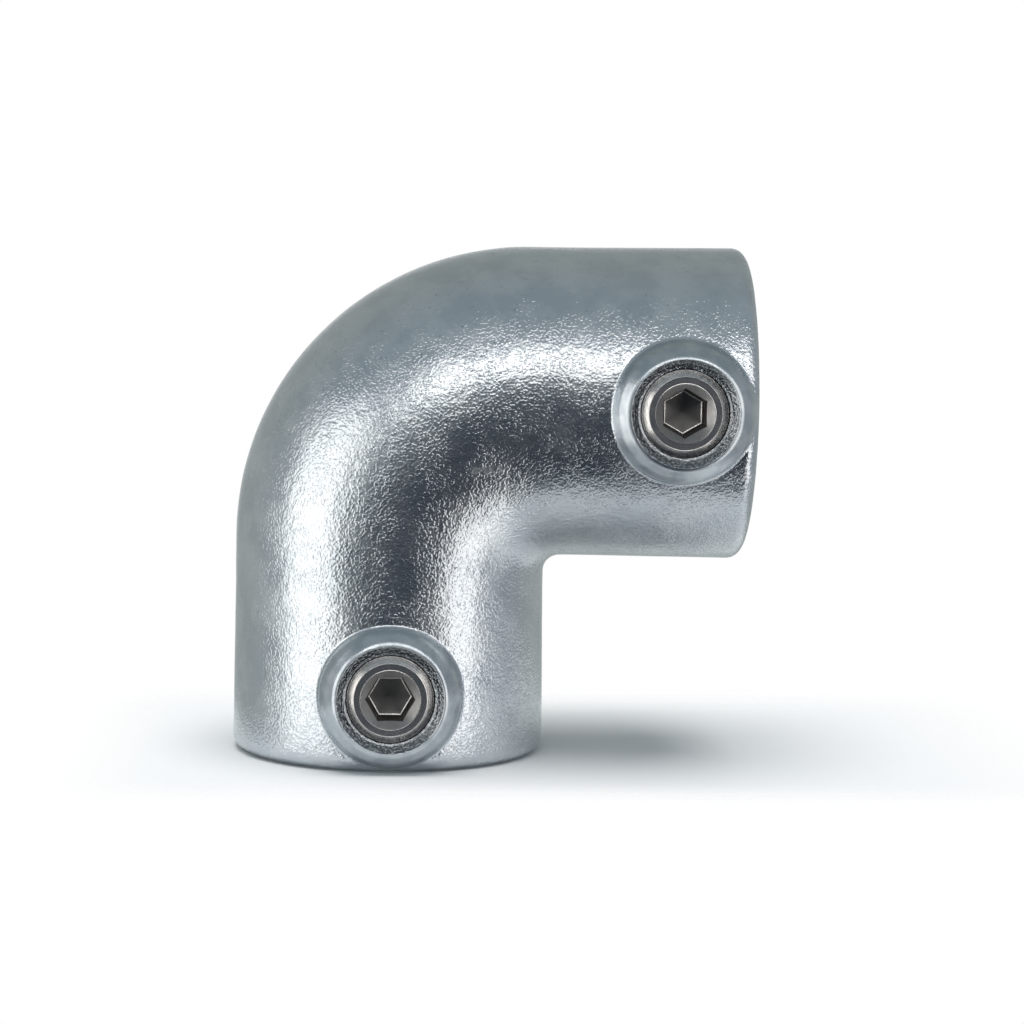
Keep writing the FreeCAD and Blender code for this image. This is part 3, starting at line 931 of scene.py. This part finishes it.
# Camera at the photograph's viewpoint
CAMERA_PLACE = Vector((-7.44, -589.2, 106.61)) * MM
CAMERA_AIM = Vector((24.03, 0.0, 46.84)) * MM
CAMERA_ROLL = 0.016
CAMERA_LENS = 105.47
camera = bpy.data.objects.new("camera", bpy.data.cameras.new("camera"))
bpy.context.scene.collection.objects.link(camera)
bpy.context.scene.camera = camera
camera.data.lens = CAMERA_LENS
camera.data.sensor_width = 36.0
camera.location = CAMERA_PLACE
camera.rotation_mode = "QUATERNION"
looking = (CAMERA_AIM - camera.location).to_track_quat("-Z", "Y")
camera.rotation_quaternion = looking @ Quaternion((0, 0, 1), CAMERA_ROLL)


# Floor and light
LAMP_AIM = Vector((25.0, 0.0, 50.0)) * MM
LAMP_DISTANCE = 0.8
WARM = (1.0, 0.955, 0.93)


def floor_piece():
    # A pale patch a hair under the part, which fades out towards its edges
    mesh = bpy.data.meshes.new("floor")
    left, right, near, far = -0.065, 0.14, -0.06, 0.075
    full_left, full_right, full_near, full_far = -0.036, 0.09, -0.036, 0.035
    level = -0.02 * MM
    corners = [(left, near, level), (right, near, level), (right, far, level), (left, far, level)]
    mesh.from_pydata(corners, [], [(0, 1, 2, 3)])
    floor = bpy.data.objects.new("floor", mesh)
    bpy.context.scene.collection.objects.link(floor)
    material, build, surface = new_material("pale_floor")
    surface.inputs["Base Color"].default_value = (0.9, 0.9, 0.9, 1)
    surface.inputs["Roughness"].default_value = 0.8
    surface.inputs["Specular IOR Level"].default_value = 0.0
    place = build.node("ShaderNodeTexCoord").outputs["Object"]
    across, back = build.node("ShaderNodeSeparateXYZ", place).outputs[:2]
    fades = (
        (across, left, full_left),
        (across, right, full_right),
        (back, near, full_near),
        (back, far, full_far),
    )
    solid = 1.0
    for spot, gone, full in fades:
        solid = build.math("MULTIPLY", solid, build.ramp(spot, gone, full))
    # it is clear from below, and to the face that stands on it
    below = build.node("ShaderNodeNewGeometry").outputs["Backfacing"]
    length = build.node("ShaderNodeLightPath").outputs["Ray Length"]
    touching = build.math("LESS_THAN", length, 0.1 * MM)
    from_above = build.math("SUBTRACT", 1.0, build.math("MAXIMUM", below, touching))
    build.feed(surface.inputs["Alpha"], build.math("MULTIPLY", solid, from_above))
    mesh.materials.append(material)
    return floor


def receivers(name, floor, only_floor):
    # What a lamp lights: the floor alone or everything else
    group = bpy.data.collections.new(name)
    group.objects.link(floor)
    if not only_floor:
        group.collection_objects[0].light_linking.link_state = "EXCLUDE"
    return group


def direction(azimuth, elevation):
    # From the object; azimuth 0 is towards the camera and grows to the right
    turn = math.radians(azimuth)
    rise = math.radians(elevation)
    flat = math.cos(rise)
    return Vector((math.sin(turn) * flat, -math.cos(turn) * flat, math.sin(rise)))


def softbox(name, azimuth, elevation, width, height, radiance, group):
    lamp = bpy.data.lights.new(name, "AREA")
    lamp.shape = "RECTANGLE"
    lamp.size = width
    lamp.size_y = height
    lamp.energy = radiance * math.pi * width * height
    lamp.color = WARM
    box = bpy.data.objects.new(name, lamp)
    bpy.context.scene.collection.objects.link(box)
    box.location = LAMP_AIM + direction(azimuth, elevation) * LAMP_DISTANCE
    box.rotation_euler = (LAMP_AIM - box.location).to_track_quat("-Z", "Y").to_euler()
    box.visible_camera = False
    box.light_linking.receiver_collection = group


floor = floor_piece()
object_only = receivers("lit_object", floor, False)
floor_only = receivers("lit_floor", floor, True)
softboxes = (
    # name, azimuth, elevation, width, height, radiance
    ("left_softbox", -62, -2, 0.58, 0.95, 1.4),
    ("right_softbox", 51.5, -9, 0.36, 1.3, 1.5),
    ("top_softbox", 4, 34, 0.9, 0.21, 2.5),
)
for settings in softboxes:
    softbox(*settings, object_only)
floor_light = bpy.data.lights.new("floor_light", "SUN")
floor_light.energy = 2.15
floor_light.angle = math.radians(45)
sun = bpy.data.objects.new("floor_light", floor_light)
bpy.context.scene.collection.objects.link(sun)
sun.rotation_euler = (-direction(0, 86)).to_track_quat("-Z", "Y").to_euler()
sun.light_linking.receiver_collection = floor_only


def studio_world():
    # A plain room with pale walls and a dark front, and white behind the part
    world = bpy.data.worlds.new("studio")
    bpy.context.scene.world = world
    world.use_nodes = True
    build = Tree(world.node_tree)
    background = world.node_tree.nodes["Background"]
    way = build.node("ShaderNodeTexCoord").outputs["Generated"]
    across, behind, upward = build.node("ShaderNodeSeparateXYZ", way).outputs
    towards = tuple(direction(8, -23))
    front = build.node("ShaderNodeVectorMath", way, towards, operation="DOT_PRODUCT").outputs["Value"]
    left_wall = (0.425, 0.462, 0.477, 1)
    right_wall = (0.355, 0.38, 0.415, 1)
    back_wall = (0.405, 0.435, 0.43, 1)
    front_ceiling = (0.31, 0.36, 0.395, 1)
    back_ceiling = (0.33, 0.365, 0.36, 1)
    low_front = (0.033, 0.041, 0.055, 1)
    high_front = (0.062, 0.072, 0.088, 1)
    walls = colour_mix(build, build.ramp(across, -0.5, 0.8), left_wall, right_wall)
    walls = colour_mix(build, build.ramp(behind, 0.0, 0.7), walls, back_wall)
    ceiling = colour_mix(build, build.ramp(behind, -0.2, 0.7), front_ceiling, back_ceiling)
    room = colour_mix(build, build.ramp(upward, 0.1, 0.7), walls, ceiling)
    dark = colour_mix(build, build.ramp(upward, -0.4, -0.1), low_front, high_front)
    room = colour_mix(build, build.ramp(front, 0.53, 0.93), room, dark)
    path = build.node("ShaderNodeLightPath").outputs
    mirrored = build.math("MAXIMUM", path["Is Glossy Ray"], path["Is Transmission Ray"])
    backdrop = build.math("MULTIPLY", mirrored, build.ramp(behind, 0.945, 0.995))
    white = build.math("MAXIMUM", path["Is Camera Ray"], backdrop)
    build.feed(background.inputs["Color"], colour_mix(build, white, room, (1, 1, 1, 1)))


studio_world()
bpy.context.scene.view_settings.view_transform = "Standard"
